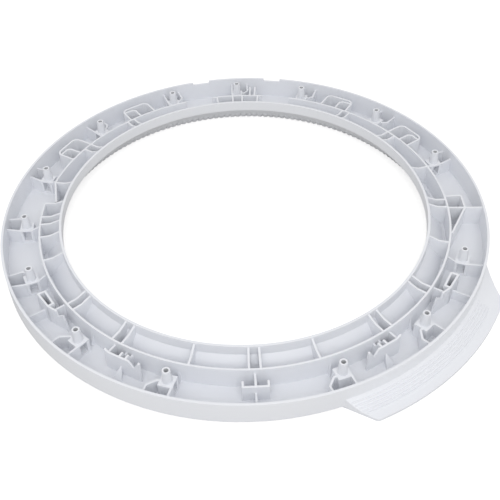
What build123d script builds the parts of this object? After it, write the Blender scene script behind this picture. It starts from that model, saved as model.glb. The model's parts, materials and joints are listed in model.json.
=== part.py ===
from build123d import *
import os
from math import atan2, cos, degrees, radians, sin

# Outer door ring of a front-loading washing machine, lying on its front face with the open back up.
# The ring's axis is Z, the resting plane is z = 0 and +Y points to the top of the door.
# Lengths are in millimetres. Angles are in degrees, counted from +Y towards -X.

# Moulded shell
rim_radius = 235.4
rim_height = 25.4
rim_chamfer = 3.0
wall = 2.5
bore_radius = 177.5
bore_height = 29.3
throat_height = 18.5
front_inner_radius = 193.7
middle_wall_radius = 199.2
middle_wall_height = 24.4
rib = 2.0
rib_root = 0.8

# Screw bosses
boss_circle = 213.6
boss_height = 31.1
boss_diameter = 7.2
boss_root_diameter = 11.2
boss_sides = 14
pilot_diameter = 4.0
pilot_depth = 14.0
upper_boss_angles = (20.4, 45.9)
lower_boss_angles = (136.0, 160.5)
webbed_boss_angles = (71.3, 111.4)
top_boss_angle = 0.0
side_boss_angle = 91.6
right_hook_angle = -71.3

# Square foot of each boss, cored out by a window from the side
foot_width = 13.0
foot_height = 17.5
window_width = 7.0
window_sill = 5.0
window_height = 11.0
window_depth = 7.0

# Thin walls that tie each boss to the shell
cell_height = 17.5
hook_start = 1.5
upper_hook_offset = 12.5
upper_hook_corner = 4.0
lower_hook_offset = 15.5
lower_hook_corner = 7.0
web_bend = 4.5
web_rim_offset = 2.0

# Radial ribs between the middle wall and the bore
upper_rib_angles = (1.6, 36.2, 38.7, 54.2, 57.2, 74.5)
lower_rib_angles = (90.0, 93.2, 108.0, 126.2, 128.8, 143.5, 146.4, 164.2, 178.6)
lone_rib_angles = (-6.8, 6.8, 98.5)
rib_shoulder_radius = 189.5
rib_crest_height = 28.4

# Openings in the walls at the top of the door
rim_notch_angle = 10.3
rim_notch_width = 19.0
rim_notch_depth = 3.0
wall_gap_angle = 12.7
wall_gap_width = 31.0
wall_gap_sill = 6.0
twin_rib_angles = (-4.1, -5.6)
twin_rib_reach = 22.0
twin_rib_height = 21.5

# Recess of the middle wall above the side boss
recess_start = 74.5
recess_end = 84.1
recess_radius = 188.0

# Rounded pockets on the middle wall, each with a smaller arch at its lower end
pocket_angles = (32.4, 58.0)
pocket_width = 30.5
pocket_reach = 23.0
pocket_round = 6.0
arch_width = 13.0
arch_reach = 18.0
arch_corner = 3.0

# Catches with a notched crest, either side of the bottom
catch_angle = 149.0
catch_length = 35.0
catch_radius = 210.5
catch_height = 23.0
catch_end_height = 26.0
catch_end_width = 4.0
catch_peak_height = 25.5
catch_notch_height = 16.5
catch_notch_width = 9.5
catch_tooth_angles = (148.0, 149.6)
catch_tooth_radius = 205.0
catch_tooth_lean = 1.5
catch_end_angle = 144.6
catch_rib_height = 17.0
catch_buttress_angle = 148.4
catch_buttress_reach = 10.0
catch_buttress_width = 11.0
catch_buttress_height = 13.5

# Fins on the middle wall beside the lower bosses
fin_angles = (136.6, 161.9)
fin_reach = 5.0
fin_height = 20.5

# Guides further up: a boxed plate that bends inwards and ends in a saw tooth
guide_start_angle = 118.5
guide_start_radius = 214.5
guide_bend_angle = 123.4
guide_bend_radius = 213.2
guide_end_angle = 129.3
guide_end_radius = 206.6
guide_box_radius = 208.0
guide_height = 22.5
guide_notch_place = 10.6
guide_notch_height = 16.5
guide_tooth_height = 21.5
guide_end_lean = 4.0
guide_rib_place = 6.0
guide_rib_height = 20.0
guide_gusset_place = 11.6
guide_gusset_height = 13.0

# Cross-shaped stop at the bottom
stop_angle = 180.0
stop_radius = 213.0
stop_width = 23.0
stop_height = 19.6
stop_hook = 6.0
stop_rib_height = 12.0

# Tapered box opposite the side boss
box_radius = 216.0
box_start = -88.4
box_end = -93.3
box_taper_end = -103.5
box_height = 23.5

# Handle lip
lip_angle = -137.8
lip_reach = 22.4
lip_tip_angle = 20.3
lip_lower_root_angle = 25.0
lip_upper_root_angle = 29.0
lip_thickness = 3.0
lip_root_height = 11.5
lip_flat = 5.0
lip_corner_round = 5.0
lip_facets = 3

# Places worked out from the sizes above
top_direction = 90.0
outer_inside = rim_radius - wall
outer_root = outer_inside + rib_root
floor_root = wall - rib_root
floor_plane = Plane.XY.offset(floor_root)
over_all = 2 * boss_height
web_offset = (foot_width - rib) / 2
boss_draft = degrees(atan2((boss_root_diameter - boss_diameter) / 2, boss_height - floor_root))
cone_slope = (front_inner_radius - bore_radius) / throat_height
cone_shift = wall / sin(atan2(throat_height, front_inner_radius - bore_radius))
cone_back = front_inner_radius + cone_shift
collar_foot = (cone_back - bore_radius - wall) / cone_slope
cone_root = cone_back - rib_root - floor_root * cone_slope
lip_radius = rim_radius + lip_reach
lip_flat_radius = lip_radius - lip_flat


def spot(angle, radius):
    """Point in plan at an angle and a radius."""
    turn = radians(top_direction + angle)
    return Vector(radius * cos(turn), radius * sin(turn))


def turned(*angles):
    """Places that turn what is drawn along +X to the given angles."""
    return Locations(*[Location((0, 0, 0), (0, 0, top_direction + angle)) for angle in angles])


def both_sides(*angles):
    """The same angles to the left and to the right."""
    return [side * angle for angle in angles for side in (1, -1)]


def facing_plane(angle, radius):
    """Upright plane across a radius, with its own X along the ring and its own Y up."""
    turn = radians(top_direction + angle)
    return Plane(spot(angle, radius), x_dir=(-sin(turn), cos(turn), 0), z_dir=(cos(turn), sin(turn), 0))


def radial_plane(angle):
    """Upright plane through the axis, with its own X outwards and its own Y up."""
    turn = radians(top_direction + angle)
    return Plane((0, 0, 0), x_dir=(cos(turn), sin(turn), 0), z_dir=(sin(turn), -cos(turn), 0))


def wall_plane(start, end):
    """Upright plane along a straight wall, with its own X along the wall and its own Y up."""
    run = end - start
    return Plane(start, x_dir=run, z_dir=run.cross(Vector(0, 0, 1)))


def radial_strip(inner, outer, beside=0.0):
    """Plan of a rib along +X between two radii, at a distance beside the axis."""
    with Locations(((inner + outer) / 2, beside)):
        Rectangle(outer - inner, rib)


def strip(start, end):
    """Plan of a straight wall between two points."""
    run = end - start
    with Locations((start + end) * 0.5):
        Rectangle(run.length + rib, rib, rotation=degrees(atan2(run.Y, run.X)))


# Slanted wall of the recess, from the middle wall to where it meets the cone
recess_from = spot(recess_start, middle_wall_radius)
recess_to = spot(recess_end, recess_radius)
recess_length = (recess_to - recess_from).length
recess_foot = (middle_wall_radius - cone_root) / (middle_wall_radius - recess_radius)

# Bosses by the walls that hold them
upper_hooked = [*both_sides(*upper_boss_angles), top_boss_angle]
lower_hooked = both_sides(*lower_boss_angles)
left_webs = [side_boss_angle, *webbed_boss_angles]
right_webs = [-angle for angle in webbed_boss_angles]
left_windows = [*upper_hooked, *lower_hooked, *left_webs]
all_bosses = [*left_windows, *right_webs]


def hooked_wall(offset, corner):
    """Plan of a wall from a boss to the rim with a cut corner, drawn along +X."""
    with BuildLine() as centre_line:
        Polyline(
            (boss_circle + hook_start, 0),
            (boss_circle + hook_start, corner - offset),
            (boss_circle + hook_start + corner, -offset),
            (outer_root, -offset),
        )
    trace(centre_line.line, line_width=rib)


with BuildSketch() as upper_hook:
    hooked_wall(upper_hook_offset, upper_hook_corner)

with BuildSketch() as lower_hook:
    hooked_wall(lower_hook_offset, lower_hook_corner)

# Plan of the bent web that runs past a boss from the middle wall to the rim
with BuildSketch() as left_web:
    with BuildLine():
        Polyline(
            (middle_wall_radius, 0),
            (boss_circle - web_bend, web_offset),
            (boss_circle + web_bend, web_offset),
            (outer_root, web_rim_offset),
        )
    trace(line_width=rib)

with BuildSketch() as right_web:
    mirror(left_web.sketch, about=Plane.XZ)

with BuildSketch() as right_hook:
    mirror(upper_hook.sketch, about=Plane.XZ)

# Plan of a pocket and the arch inside it, drawn along +X
with BuildSketch() as pocket_plan:
    with BuildLine():
        FilletPolyline(
            (middle_wall_radius, -pocket_width / 2),
            (middle_wall_radius + pocket_reach, -pocket_width / 2),
            (middle_wall_radius + pocket_reach, pocket_width / 2),
            (middle_wall_radius, pocket_width / 2),
            radius=pocket_round,
        )
    trace(line_width=rib)
    with BuildLine():
        Polyline(
            (middle_wall_radius + arch_reach, pocket_width / 2),
            (middle_wall_radius + arch_reach, pocket_width / 2 - arch_width + arch_corner),
            (middle_wall_radius + arch_reach - arch_corner, pocket_width / 2 - arch_width),
            (middle_wall_radius, pocket_width / 2 - arch_width),
        )
    trace(line_width=rib)

# One rib of the inner channel, drawn in the plane of +X and rising to a crest at the bore
with BuildPart() as channel_rib:
    with BuildSketch(Plane.XZ):
        with BuildLine():
            Polyline(
                (middle_wall_radius, floor_root),
                (middle_wall_radius, middle_wall_height),
                (rib_shoulder_radius, middle_wall_height),
                (bore_radius + wall - rib_root, rib_crest_height),
                (bore_radius + wall - rib_root, collar_foot),
                (cone_root, floor_root),
                close=True,
            )
        make_face()
    extrude(amount=rib / 2, both=True)

# Places along the guide's bent plate
guide_start = spot(guide_start_angle, guide_start_radius)
guide_bend = spot(guide_bend_angle, guide_bend_radius)
guide_end = spot(guide_end_angle, guide_end_radius)
guide_length = (guide_end - guide_bend).length
guide_box_start = spot(guide_start_angle, guide_box_radius)
guide_box_end = spot(guide_bend_angle, guide_box_radius)
guide_rib_foot = guide_bend + (guide_end - guide_bend).normalized() * guide_rib_place
guide_gusset_foot = guide_start + (guide_bend - guide_start).normalized() * guide_gusset_place
catch_buttress_apex = spot(catch_buttress_angle, catch_radius) + Vector(0, 0, catch_buttress_height)

# Brackets that stand alike on the left and on the right
with BuildPart() as brackets:
    with BuildSketch(facing_plane(catch_angle, catch_radius)):
        with BuildLine():
            Polyline(
                (-catch_length / 2, floor_root),
                (-catch_length / 2, catch_end_height),
                (catch_end_width - catch_length / 2, catch_height),
                (catch_length / 2 - catch_notch_width - rib, catch_height),
                (catch_length / 2 - catch_notch_width / 2 - rib, catch_notch_height),
                (catch_length / 2 - rib, catch_peak_height),
                (catch_length / 2, catch_peak_height),
                (catch_length / 2, floor_root),
                close=True,
            )
        make_face()
    extrude(amount=rib / 2, both=True)

    with BuildSketch(*[radial_plane(angle) for angle in catch_tooth_angles]):
        with BuildLine():
            Polyline(
                (middle_wall_radius, floor_root),
                (middle_wall_radius, catch_rib_height),
                (catch_tooth_radius - catch_tooth_lean, catch_rib_height),
                (catch_tooth_radius, catch_height),
                (catch_radius, catch_height),
                (catch_radius, floor_root),
                close=True,
            )
        make_face()
    extrude(amount=rib / 2, both=True)

    with BuildSketch(mode=Mode.PRIVATE) as buttress_plan:
        with BuildLine():
            Polyline(
                (catch_radius, 0),
                (catch_radius + catch_buttress_reach, catch_buttress_width / 2),
                (catch_radius + catch_buttress_reach, -catch_buttress_width / 2),
                close=True,
            )
        make_face()
    with BuildSketch(floor_plane, mode=Mode.PRIVATE) as buttress_foot:
        with turned(catch_buttress_angle):
            add(buttress_plan.sketch)
    loft(sections=[buttress_foot.sketch.face(), Vertex(*catch_buttress_apex)])

    with BuildSketch(*[radial_plane(angle) for angle in fin_angles]):
        with BuildLine():
            Polyline(
                (middle_wall_radius, floor_root),
                (middle_wall_radius, fin_height),
                (middle_wall_radius + fin_reach, floor_root),
                close=True,
            )
        make_face()
    extrude(amount=rib / 2, both=True)

    with BuildSketch(wall_plane(guide_bend, guide_end)):
        with BuildLine():
            Polyline(
                (0, floor_root),
                (0, guide_height),
                (guide_notch_place, guide_height),
                (guide_notch_place + rib / 2, guide_notch_height),
                (guide_length - guide_end_lean, guide_tooth_height),
                (guide_length, floor_root),
                close=True,
            )
        make_face()
    extrude(amount=rib / 2, both=True)

    with BuildSketch(floor_plane):
        strip(guide_start, guide_bend)
        strip(guide_start, guide_box_start)
        strip(guide_box_start, guide_box_end)
        strip(guide_box_end, guide_bend)
        with turned(*pocket_angles):
            add(pocket_plan.sketch)
    extrude(amount=guide_height - floor_root)

    with BuildSketch(floor_plane):
        strip(guide_rib_foot, guide_rib_foot.normalized() * middle_wall_radius)
        with turned(catch_end_angle):
            radial_strip(middle_wall_radius, catch_radius)
    extrude(amount=guide_rib_height - floor_root)

    with BuildSketch(floor_plane):
        strip(guide_gusset_foot, guide_gusset_foot.normalized() * outer_root)
    extrude(amount=guide_gusset_height - floor_root)

    mirror(about=Plane.YZ)


def lip_surface(radius):
    """Height of the handle lip's back at a radius, rising towards the rim in a hollow curve."""
    rise = max(0.0, (lip_flat_radius - radius) / (lip_flat_radius - rim_radius))
    return lip_thickness + (lip_root_height - lip_thickness) * rise**2


lip_step = (lip_flat_radius - rim_radius) / lip_facets
lip_back = [lip_flat_radius - lip_step * step for step in range(lip_facets + 1)]

# Handle lip, drawn along +X
with BuildPart() as lip:
    with BuildSketch() as lip_plan:
        with BuildLine():
            lower_root = Vector(outer_root, 0).rotate(Axis.Z, -lip_lower_root_angle)
            upper_root = Vector(outer_root, 0).rotate(Axis.Z, lip_upper_root_angle)
            tip_arc = CenterArc((0, 0), lip_radius, -lip_tip_angle, 2 * lip_tip_angle)
            Line(lower_root, tip_arc @ 0)
            Line(tip_arc @ 1, upper_root)
            Line(upper_root, (0, 0))
            Line((0, 0), lower_root)
        make_face()
        fillet(lip_plan.vertices().group_by(SortBy.DISTANCE)[-1], lip_corner_round)
    extrude(amount=lip_root_height)
    with BuildSketch(Plane.XZ):
        with BuildLine():
            Polyline(
                (outer_inside - rim_chamfer, 0),
                (lip_radius, 0),
                (lip_radius, lip_thickness),
                *[(radius, lip_surface(radius)) for radius in lip_back],
                (outer_root, lip_root_height),
                (outer_root, floor_root),
                (outer_inside - rim_chamfer, floor_root),
                close=True,
            )
        make_face()
    revolve(axis=Axis.Z, mode=Mode.INTERSECT)

# Whole ring
with BuildPart() as door_frame:
    with BuildSketch(Plane.XZ):
        with BuildLine():
            Polyline(
                (rim_radius, rim_height),
                (rim_radius, rim_chamfer),
                (rim_radius - rim_chamfer, 0),
                (front_inner_radius, 0),
                (bore_radius, throat_height),
                (bore_radius, bore_height),
                (bore_radius + wall, bore_height),
                (bore_radius + wall, collar_foot),
                (cone_back - wall * cone_slope, wall),
                (middle_wall_radius - rib / 2, wall),
                (middle_wall_radius - rib / 2, middle_wall_height),
                (middle_wall_radius + rib / 2, middle_wall_height),
                (middle_wall_radius + rib / 2, wall),
                (outer_inside, wall),
                (outer_inside, rim_height),
                close=True,
            )
        make_face()
    revolve(axis=Axis.Z)

    # Gaps and recess of the middle wall, and notches in the rim
    with BuildSketch(Plane.XY.offset(wall_gap_sill)):
        with turned(*both_sides(wall_gap_angle)):
            with Locations((middle_wall_radius, 0)):
                Rectangle(2 * rib, wall_gap_width)
    extrude(amount=over_all, mode=Mode.SUBTRACT)
    with BuildSketch(Plane.XY.offset(rim_height - rim_notch_depth)):
        with turned(*both_sides(rim_notch_angle)):
            with Locations((rim_radius, 0)):
                Rectangle(3 * wall, rim_notch_width)
    extrude(amount=over_all, mode=Mode.SUBTRACT)
    with BuildSketch(Plane.XY.offset(wall)):
        with BuildLine():
            CenterArc((0, 0), middle_wall_radius, top_direction + recess_start, recess_end - recess_start)
        trace(line_width=2 * rib)
    extrude(amount=over_all, mode=Mode.SUBTRACT)

    # Ribs of the inner channel and the slanted wall of the recess
    with turned(*both_sides(*upper_rib_angles, *lower_rib_angles), *lone_rib_angles, recess_end):
        add(channel_rib.part)
    with BuildSketch(wall_plane(recess_from, recess_to)):
        with BuildLine():
            Polyline(
                (0, floor_root),
                (0, middle_wall_height),
                (recess_length, middle_wall_height),
                (recess_length, (cone_back - rib_root - recess_radius) / cone_slope),
                (recess_length * recess_foot, floor_root),
                close=True,
            )
        make_face()
    extrude(amount=rib / 2, both=True)

    # Walls round the bosses
    with BuildSketch(floor_plane):
        with turned(*upper_hooked, *left_webs):
            add(upper_hook.sketch)
        with turned(*lower_hooked):
            add(lower_hook.sketch)
        with turned(*upper_hooked, *lower_hooked):
            radial_strip(boss_circle, outer_root, web_offset)
        with turned(*left_webs):
            add(left_web.sketch)
        with turned(*right_webs):
            add(right_web.sketch)
        with turned(right_hook_angle):
            add(right_hook.sketch)
    extrude(amount=cell_height - floor_root)

    # Twin ribs at the top of the door
    with BuildSketch(floor_plane):
        with turned(*twin_rib_angles):
            radial_strip(middle_wall_radius, middle_wall_radius + twin_rib_reach)
    extrude(amount=twin_rib_height - floor_root)

    # Stop at the bottom
    with BuildSketch(floor_plane):
        with turned(stop_angle):
            with Locations((stop_radius, 0)):
                Rectangle(rib, stop_width)
            for edge in (-1, 1):
                radial_strip(stop_radius - stop_hook, stop_radius, edge * (stop_width - rib) / 2)
            radial_strip(middle_wall_radius, stop_radius)
    extrude(amount=stop_height - floor_root)
    with BuildSketch(floor_plane):
        with turned(stop_angle):
            radial_strip(stop_radius, outer_root)
    extrude(amount=stop_rib_height - floor_root)

    # Tapered box
    with BuildSketch(floor_plane):
        with BuildLine():
            CenterArc((0, 0), box_radius, top_direction + box_start, box_end - box_start)
        trace(line_width=rib)
        with turned(box_start):
            radial_strip(middle_wall_radius, box_radius)
        with turned(box_end):
            radial_strip(middle_wall_radius, outer_root)
        strip(spot(box_end, box_radius), spot(box_taper_end, middle_wall_radius + rib))
    extrude(amount=box_height - floor_root)

    add(brackets.part)
    with turned(lip_angle):
        add(lip.part)

    # Bosses on square feet, the windows in the feet and the blind pilot holes
    with BuildSketch(floor_plane):
        with turned(*all_bosses):
            with Locations((boss_circle, 0)):
                Rectangle(foot_width, foot_width)
    extrude(amount=foot_height - floor_root)
    with BuildSketch(floor_plane):
        with turned(*all_bosses):
            with Locations((boss_circle, 0)):
                RegularPolygon(boss_root_diameter / 2, boss_sides)
    extrude(amount=boss_height - floor_root, taper=boss_draft)
    with BuildSketch(Plane.XY.offset(window_sill)):
        for window_angles, side in ((left_windows, 1), (right_webs, -1)):
            with turned(*window_angles):
                with Locations((boss_circle, side * (foot_width + rib - window_depth) / 2)):
                    Rectangle(window_width, window_depth + rib)
    extrude(amount=window_height, mode=Mode.SUBTRACT)
    with turned(*all_bosses):
        with Locations((boss_circle, 0, boss_height)):
            Hole(pilot_diameter / 2, depth=pilot_depth)

door_frame.part.label = "door_frame"
os.makedirs("parts", exist_ok=True)
export_step(door_frame.part, "parts/door_frame.step")
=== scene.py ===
# %% [markdown]
# # The outer frame of a washing machine door
#
# The part is one white plastic moulding: a ring that lies on its front face, with its ribbed back up.
# The measured model is loaded first, in metres, and everything here is dressed around it without moving it.
# The box that it fills is kept.

import json
import math

import bpy
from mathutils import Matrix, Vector

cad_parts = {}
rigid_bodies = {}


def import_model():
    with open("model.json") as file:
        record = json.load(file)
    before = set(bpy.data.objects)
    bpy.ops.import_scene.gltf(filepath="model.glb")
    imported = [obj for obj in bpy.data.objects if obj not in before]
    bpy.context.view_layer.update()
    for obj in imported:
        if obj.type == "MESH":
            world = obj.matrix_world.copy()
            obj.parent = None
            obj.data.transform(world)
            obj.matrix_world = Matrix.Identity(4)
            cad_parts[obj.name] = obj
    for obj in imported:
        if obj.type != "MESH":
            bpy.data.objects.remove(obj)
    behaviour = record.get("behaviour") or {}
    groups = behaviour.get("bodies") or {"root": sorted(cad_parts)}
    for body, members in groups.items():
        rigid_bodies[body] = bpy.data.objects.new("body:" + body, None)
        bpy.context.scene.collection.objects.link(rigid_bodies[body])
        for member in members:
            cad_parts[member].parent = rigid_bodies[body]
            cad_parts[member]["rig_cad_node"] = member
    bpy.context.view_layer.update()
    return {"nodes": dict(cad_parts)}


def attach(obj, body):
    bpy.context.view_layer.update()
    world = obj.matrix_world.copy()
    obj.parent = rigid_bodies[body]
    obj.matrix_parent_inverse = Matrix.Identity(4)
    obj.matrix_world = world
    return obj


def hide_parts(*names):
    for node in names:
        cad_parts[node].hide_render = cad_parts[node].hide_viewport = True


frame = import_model()
ring_node = frame["nodes"]["door_frame"]
mm = 0.001

# %% [markdown]
# ## The camera
#
# The photograph looks down at the ring from its near side, from a little over three quarters of a metre.
# A camera can be aimed by eye, but a ring shows the smallest error in the shape of its ellipses. So the place
# and the turn were worked out from the ellipses of the ring's circles, and they stand here as plain numbers.
# A focal length near 59 mm on a 36 mm sensor gives the same perspective.

# %% Camera at the photograph's angle
camera_place = Vector((-0.01436, -0.60919, 0.55155))
camera_turn = [math.radians(angle) for angle in (46.164, 0.978, -2.702)]
sensor_width = 36
focal_length = 58.87
nearest_seen = 10 * mm

bpy.ops.object.select_all(action="DESELECT")
bpy.ops.object.camera_add(location=camera_place, rotation=camera_turn)
camera = bpy.context.object
camera.data.sensor_width = sensor_width
camera.data.lens = focal_length
camera.data.clip_start = nearest_seen
bpy.context.scene.camera = camera
print("camera distance:", round(camera_place.length, 3), "m")

# %% [markdown]
# ## Shader maths in plain expressions
#
# A material is a graph of nodes, and a graph is tedious to wire by hand.
# This small class wraps one output of a node, so that `a * b + 1` adds the Math nodes by itself.
# Its one method adds any other node: the settings go in first, and then the values or links of its sockets.


# %% Shader sockets with operators
class Signal:
    """One value of a node graph."""

    def __init__(self, tree, socket):
        self.tree = tree
        self.socket = socket

    def node(self, kind, settings=None, output=0, **sockets):
        """Adds a node and returns one of its outputs.

        A socket is named with _ for a space, or by _ and its number.
        """
        added = self.tree.nodes.new(kind)
        for name, value in (settings or {}).items():
            setattr(added, name, value)
        for name, value in sockets.items():
            key = int(name[1:]) if name[1:].isdigit() else name.replace("_", " ")
            if isinstance(value, Signal):
                self.tree.links.new(value.socket, added.inputs[key])
            else:
                added.inputs[key].default_value = value
        return Signal(self.tree, added.outputs[output])

    def maths(self, operation, first, second):
        return self.node("ShaderNodeMath", {"operation": operation}, _0=first, _1=second)

    def __add__(self, other):
        return self.maths("ADD", self, other)

    def __mul__(self, other):
        return self.maths("MULTIPLY", self, other)

    __radd__ = __add__
    __rmul__ = __mul__


# %% [markdown]
# ## The white plastic
#
# The ring is moulded in a glossy white resin. One even colour would look like flat paint, and a picture of
# plastic would show seams, so three noises in the object's own coordinates break it up instead:
# the colour drifts a little where the melt flowed, the polish of the tool is never quite even,
# and the spark-eroded steel leaves a very fine grain. The walls of the screw posts' pilot holes are painted
# greyer:
# this is painted shade for the dark inside of these deep, narrow holes. A number on each face, called
# pilot_hole, tells the plastic where those walls are.
# The two colours of a Mix node are its sockets 6 and 7, because those for numbers and vectors come first.

# %% White plastic
cool_white = (0.790, 0.806, 0.850, 1)
clear_white = (0.830, 0.842, 0.872, 1)
# Grey painted shade for the inside of the deep pilot holes.
hole_shade_grey = (0.620, 0.630, 0.650, 1)
melt_flow = {"Scale": 7.0, "Detail": 3.0}
tool_polish = {"Scale": 38.0, "Detail": 4.0}
steel_grain = {"Scale": 1400.0, "Detail": 2.0}
grain_strength = 0.06
grain_depth = 0.2 * mm
smoothest = 0.30
roughness_spread = 0.16
resin_ior = 1.50
object_output, colour_output, number_output = 3, 2, 2
colour_mix = {"data_type": "RGBA"}

plastic = bpy.data.materials.new("white_plastic")
plastic.use_nodes = True
shader = plastic.node_tree.nodes["Principled BSDF"]
graph = Signal(plastic.node_tree, shader.outputs[0])
place = graph.node("ShaderNodeTexCoord", output=object_output)
flow = graph.node("ShaderNodeTexNoise", Vector=place, **melt_flow)
polish = graph.node("ShaderNodeTexNoise", Vector=place, **tool_polish)
grain = graph.node("ShaderNodeTexNoise", Vector=place, **steel_grain)
hole = graph.node("ShaderNodeAttribute", {"attribute_name": "pilot_hole"}, number_output)
white = graph.node("ShaderNodeMix", colour_mix, colour_output, Factor=flow, _6=cool_white, _7=clear_white)
# Painted shade: faces marked as pilot hole walls are mixed towards a flat grey.
tint = graph.node("ShaderNodeMix", colour_mix, colour_output, Factor=hole, _6=white, _7=hole_shade_grey)
roughness = polish * roughness_spread + smoothest
bump = graph.node("ShaderNodeBump", Height=grain, Strength=grain_strength, Distance=grain_depth)

plastic.node_tree.links.new(tint.socket, shader.inputs["Base Color"])
plastic.node_tree.links.new(roughness.socket, shader.inputs["Roughness"])
plastic.node_tree.links.new(bump.socket, shader.inputs["Normal"])
shader.inputs["IOR"].default_value = resin_ior
print("white plastic:", len(plastic.node_tree.nodes), "nodes")

# %% [markdown]
# ## A copy of the ring
#
# The ring is already measured to its last rib, so modelling it anew could only bring in errors.
# A copy of it stands for it here. The copy comes as loose triangles, and a bevel needs joined edges,
# so its doubles are merged first. Then the triangles of each flat area are dissolved into one whole face.

# %% Merge the copy
merge_reach = 0.01 * mm
flat_turn = math.radians(0.2)

bpy.ops.object.select_all(action="DESELECT")
ring_node.select_set(True)
bpy.context.view_layer.objects.active = ring_node
bpy.ops.object.duplicate()
moulding = bpy.context.object
moulding.name = "ring_moulding"
del moulding["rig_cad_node"]
bpy.ops.object.mode_set(mode="EDIT")
bpy.ops.mesh.select_all(action="SELECT")
bpy.ops.mesh.remove_doubles(threshold=merge_reach)
bpy.ops.mesh.dissolve_limited(angle_limit=flat_turn)
bpy.ops.object.mode_set(mode="OBJECT")
print("merged copy:", len(moulding.data.polygons), "faces")

# %% [markdown]
# ## The moulding's soft edges
#
# The measured ring has knife-sharp edges, and no moulding has those: a tool leaves a small round on every rib
# and rim, and these rounds are what catch the light. There are thousands of edges, too many to pick by hand,
# so a Bevel modifier rounds each one that turns by more than 30 degrees. Smooth shading would then bend
# the light over the flat areas too, and a Weighted Normal modifier keeps it to the rounds.

# %% Soften the edges
edge_round = 0.35 * mm
edge_turn = math.radians(30)
round_steps = 2
flat_weight = 100

soften = moulding.modifiers.new("soft_edges", "BEVEL")
soften.width = edge_round
soften.segments = round_steps
soften.limit_method = "ANGLE"
soften.angle_limit = edge_turn
soften.use_clamp_overlap = False
bpy.ops.object.modifier_apply(modifier=soften.name)
bpy.ops.object.shade_smooth_by_angle(angle=edge_turn)
flatten = moulding.modifiers.new("flat_faces", "WEIGHTED_NORMAL")
flatten.mode = "FACE_AREA"
flatten.weight = flat_weight
flatten.keep_sharp = True
bpy.ops.object.modifier_apply(modifier=flatten.name)
moulding.data.materials.clear()
moulding.data.materials.append(plastic)
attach(moulding, "root")
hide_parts("door_frame")
print("moulding:", len(moulding.data.polygons), "faces")

# %% [markdown]
# ## Painted shade in the pilot holes
#
# The fourteen screw posts stand on one circle: six pairs at mirrored angles, one post at the top and one at
# the side. Their holes could get a material of their own, but the ring is one moulding in one plastic,
# so a number on its faces marks them instead. A face belongs to a hole when it lies within the hole's radius
# of a post's axis, between the hole's bottom and its rim. Such faces get a 1, and all the others get a 0.
# The plastic paints the marked faces grey: painted shade for the dark inside of the deep holes.

# %% Mark the walls of the pilot holes
post_circle = 213.6 * mm
paired_angles = (20.4, 45.9, 71.3, 111.4, 136.0, 160.5)
mirrored_angles = [-angle for angle in paired_angles]
lone_angles = (0, 91.6)
hole_reach = 2.05 * mm
hole_bottom = 17 * mm
hole_top = 30.5 * mm

post_angles = [math.radians(angle) for angle in (*paired_angles, *mirrored_angles, *lone_angles)]
posts = [Vector((-math.sin(angle), math.cos(angle))) * post_circle for angle in post_angles]


def is_hole_wall(face):
    """True for a face near a post's axis, between the hole's bottom and its rim."""
    if not hole_bottom < face.center.z < hole_top:
        return False
    return min((face.center.xy - post).length for post in posts) < hole_reach


# Faces marked 1 get painted shade in the plastic.
in_hole = [float(is_hole_wall(face)) for face in moulding.data.polygons]
moulding.data.attributes.new("pilot_hole", "FLOAT", "FACE").data.foreach_set("value", in_hole)
print("pilot holes:", len(posts), "with", int(sum(in_hole)), "faces")

# %% [markdown]
# ## One flute of the front edge
#
# The edge where the front face turns into the throat carries a row of fine flutes, which show on the far side
# of the opening as a beaded outline. A bump in the material would leave that outline smooth, so they are
# modelled. One flute starts as a cylinder: its upper end is pinched so that it fades into the slope, the whole
# is flattened, and it is leaned along the throat. Bisect then cuts it level with the front face.

# %% One flute
flute_sides = 14
flute_width = 5.4 * mm
flute_length = 13 * mm
flute_depth = 1.9 * mm
flute_pinch = 0.15
flute_waste = 2 * mm
level_cut = 0.05 * mm
front_edge_radius = 193.7 * mm
throat_radius = 177.5 * mm
throat_height = 18.5 * mm
throat_slope = math.atan2(front_edge_radius - throat_radius, throat_height)
flute_middle = flute_length / 2 - flute_waste
flute_inset = flute_middle * math.sin(throat_slope)
flute_rise = flute_middle * math.cos(throat_slope)

bpy.ops.object.select_all(action="DESELECT")
bpy.ops.mesh.primitive_cylinder_add(vertices=flute_sides, radius=flute_width / 2, depth=flute_length)
flutes = bpy.context.object
flutes.name = "edge_flutes"
bpy.ops.object.mode_set(mode="EDIT")
bpy.ops.mesh.select_mode(type="VERT")
bpy.ops.mesh.select_all(action="DESELECT")
bpy.ops.object.mode_set(mode="OBJECT")
for corner in flutes.data.vertices:
    corner.select = corner.co.z > 0
bpy.ops.object.mode_set(mode="EDIT")
bpy.ops.transform.resize(value=(flute_pinch, 1, 1), center_override=(0, 0, 0))
bpy.ops.mesh.select_all(action="SELECT")
bpy.ops.transform.resize(value=(2 * flute_depth / flute_width, 1, 1), center_override=(0, 0, 0))
bpy.ops.transform.rotate(value=throat_slope, orient_axis="Y", center_override=(0, 0, 0))
bpy.ops.transform.translate(value=(front_edge_radius - flute_inset, 0, flute_rise))
bpy.ops.mesh.bisect(plane_co=(0, 0, level_cut), plane_no=(0, 0, 1), clear_inner=True, use_fill=True)
bpy.ops.object.mode_set(mode="OBJECT")
print("one flute:", len(flutes.data.polygons), "faces")

# %% [markdown]
# ## The row of flutes
#
# The beads in the photograph are spaced for 188 flutes round the opening. An Array modifier could repeat the
# first one, but it needs a second object to turn about. The spin tool can copy instead of sweeping,
# and that sets the whole row at once.

# %% Row of flutes
flute_count = 188
flute_step = 2 * math.pi / flute_count

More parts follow.
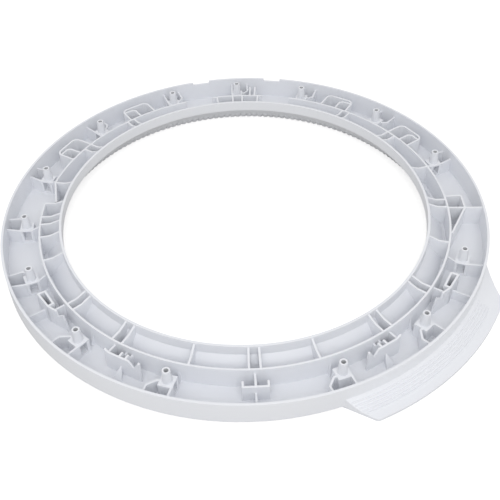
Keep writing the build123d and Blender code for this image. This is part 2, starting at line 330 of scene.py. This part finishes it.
bpy.ops.object.mode_set(mode="EDIT")
bpy.ops.mesh.select_all(action="SELECT")
bpy.ops.mesh.spin(
    steps=flute_count - 1,
    dupli=True,
    angle=2 * math.pi - flute_step,
    center=(0, 0, 0),
    axis=(0, 0, 1),
)
bpy.ops.mesh.select_all(action="SELECT")
bpy.ops.mesh.normals_make_consistent(inside=False)
bpy.ops.object.mode_set(mode="OBJECT")
bpy.ops.object.shade_smooth_by_angle(angle=edge_turn)
flutes.data.materials.append(plastic)
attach(flutes, "root")
print("flutes:", len(flutes.data.polygons), "faces")

# %% [markdown]
# ## The back of the handle lip
#
# A finger pulls the door by the lip, and fine ridges there give it grip. They have to lie on the lip's back,
# which rises towards the rim in a hollow curve, and to start at its slanted end. They could be pressed onto it
# with a Shrinkwrap modifier, but the lip's own measures give their place exactly.

# %% Where a ridge lies on the lip
rim_radius = 235.4 * mm
lip_root_start = math.radians(-72.2)
lip_tip_start = math.radians(-67.5)
lip_tip_radius = 257.8 * mm
lip_flat_radius = 252.8 * mm
lip_thickness = 3 * mm
lip_root_height = 11.5 * mm


def lip_height(radius):
    """Height of the lip's back."""
    rise = max(0.0, (lip_flat_radius - radius) / (lip_flat_radius - rim_radius))
    return lip_thickness + (lip_root_height - lip_thickness) * rise**2


def lip_start(radius):
    """Angle at which the lip begins."""
    reach = (radius - rim_radius) / (lip_tip_radius - rim_radius)
    return lip_root_start + reach * (lip_tip_start - lip_root_start)


print("lip's back at the rim:", round(lip_height(rim_radius) / mm, 1), "mm high")

# %% [markdown]
# ## Finger ridges
#
# Each ridge is a thin bead that follows the ring's curve. A bevelled curve could make it too, but a small
# circle that stands on edge at its radius and is spun about the ring's axis is a mesh from the start.
# A bead is half sunk in the lip, so that only its crown shows.

# %% Finger ridges
ridge_radii = [radius * mm for radius in (238.6, 241.2, 243.8, 246.4, 249.0)]
ridge_round = 0.75 * mm
ridge_sides = 8
ridge_steps = 40
ridge_end = math.radians(-31)
ridge_turn = math.radians(60)
upright = math.radians(90)

bpy.ops.object.select_all(action="DESELECT")
ridges = bpy.data.objects.new("finger_ridges", bpy.data.meshes.new("finger_ridges"))
bpy.context.collection.objects.link(ridges)
bpy.context.view_layer.objects.active = ridges
bpy.ops.object.mode_set(mode="EDIT")
for radius in ridge_radii:
    start = lip_start(radius)
    bpy.ops.mesh.select_all(action="DESELECT")
    bpy.ops.mesh.primitive_circle_add(
        vertices=ridge_sides,
        radius=ridge_round,
        location=(radius * math.cos(start), radius * math.sin(start), lip_height(radius)),
        rotation=(upright, 0, start),
    )
    bpy.ops.mesh.spin(steps=ridge_steps, angle=start - ridge_end, center=(0, 0, 0), axis=(0, 0, 1))
bpy.ops.mesh.select_all(action="SELECT")
bpy.ops.mesh.fill_holes(sides=0)
bpy.ops.mesh.normals_make_consistent(inside=False)
bpy.ops.object.mode_set(mode="OBJECT")
ridges.select_set(True)
bpy.ops.object.shade_smooth_by_angle(angle=ridge_turn)
ridges.data.materials.append(plastic)
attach(ridges, "root")
print("finger ridges:", len(ridges.data.polygons), "faces")

# %% [markdown]
# ## The floor
#
# The ring was photographed on white. A brighter lamp would turn the floor white, but it would bleach the ring
# too, so the floor glows instead. The Light Path node keeps this glow to the rays that come straight from the
# camera, or else it would light the ring from below and wash out the throat. From below, the floor is as clear
# as a glass table: its back is transparent, and it crosses the ring's rounded lower edges a hair above the
# front face.

# %% Floor
floor_size = 12
floor_height = 0.02 * mm
floor_white = (0.62, 0.615, 0.605, 1)
floor_roughness = 0.9
floor_glow = 0.6
back_output = 6

bpy.ops.object.select_all(action="DESELECT")
bpy.ops.mesh.primitive_plane_add(size=floor_size, location=(0, 0, floor_height))
floor = bpy.context.object
floor.name = "floor"
floor_paint = bpy.data.materials.new("floor_paint")
floor_paint.use_nodes = True
floor_tree = floor_paint.node_tree
floor_shader = floor_tree.nodes["Principled BSDF"]
floor_shader.inputs["Base Color"].default_value = floor_white
floor_shader.inputs["Roughness"].default_value = floor_roughness
floor_shader.inputs["Emission Strength"].default_value = floor_glow
painted = Signal(floor_tree, floor_shader.outputs[0])
seen = painted.node("ShaderNodeLightPath")
back = painted.node("ShaderNodeNewGeometry", output=back_output)
clear = painted.node("ShaderNodeBsdfTransparent")
two_sided = painted.node("ShaderNodeMixShader", _0=back, _1=painted, _2=clear)
floor_tree.links.new(seen.socket, floor_shader.inputs["Emission Color"])
floor_tree.links.new(two_sided.socket, floor_tree.nodes["Material Output"].inputs["Surface"])
floor.data.materials.append(floor_paint)
print("floor:", floor_size, "m wide")

# %% [markdown]
# ## The sky
#
# The photograph's light is soft and comes from all round, so most of it is an even white sky.
# The camera sees that sky brighter than it shines on the ring, again by the Light Path node:
# the ring keeps its shading, and no horizon shows behind the floor.

# %% Even sky
sky_white = (1, 1, 1, 1)
sky_light = 0.745
sky_seen = 1.1

sky = bpy.data.worlds.new("studio_sky")
sky.use_nodes = True
backdrop = sky.node_tree.nodes["Background"]
backdrop.inputs["Color"].default_value = sky_white
seen_sky = Signal(sky.node_tree, backdrop.outputs[0]).node("ShaderNodeLightPath")
glow = seen_sky * (sky_seen - sky_light) + sky_light
sky.node_tree.links.new(glow.socket, backdrop.inputs["Strength"])
bpy.context.scene.world = sky
print("sky:", sky_light, "on the ring and", sky_seen, "to the camera")

# %% [markdown]
# ## The lamps
#
# The near side of the ring is a little brighter than its far side, so one large lamp stands in front of it,
# and a faint one hangs high on its left. Wide lamps give soft shadows, where a point or a sun would draw
# hard ones. The Standard view keeps white as white.


# %% Soft lamps
def soft_lamp(stand, tilt, watts, width):
    """Adds one square lamp, tilted by angles in degrees."""
    bpy.ops.object.light_add(type="AREA", location=stand, rotation=[math.radians(angle) for angle in tilt])
    lamp = bpy.context.object
    lamp.data.energy = watts
    lamp.data.size = width
    return lamp


top_lamp = soft_lamp(stand=(-0.5, -0.3, 1.8), tilt=(-10, -15, 0), watts=0.5, width=1.6)
front_lamp = soft_lamp(stand=(0, -1.25, 1.35), tilt=(43, 0, 0), watts=11, width=1.2)
bpy.context.scene.view_settings.view_transform = "Standard"
print("lamps:", top_lamp.data.energy, "W above and", front_lamp.data.energy, "W in front")
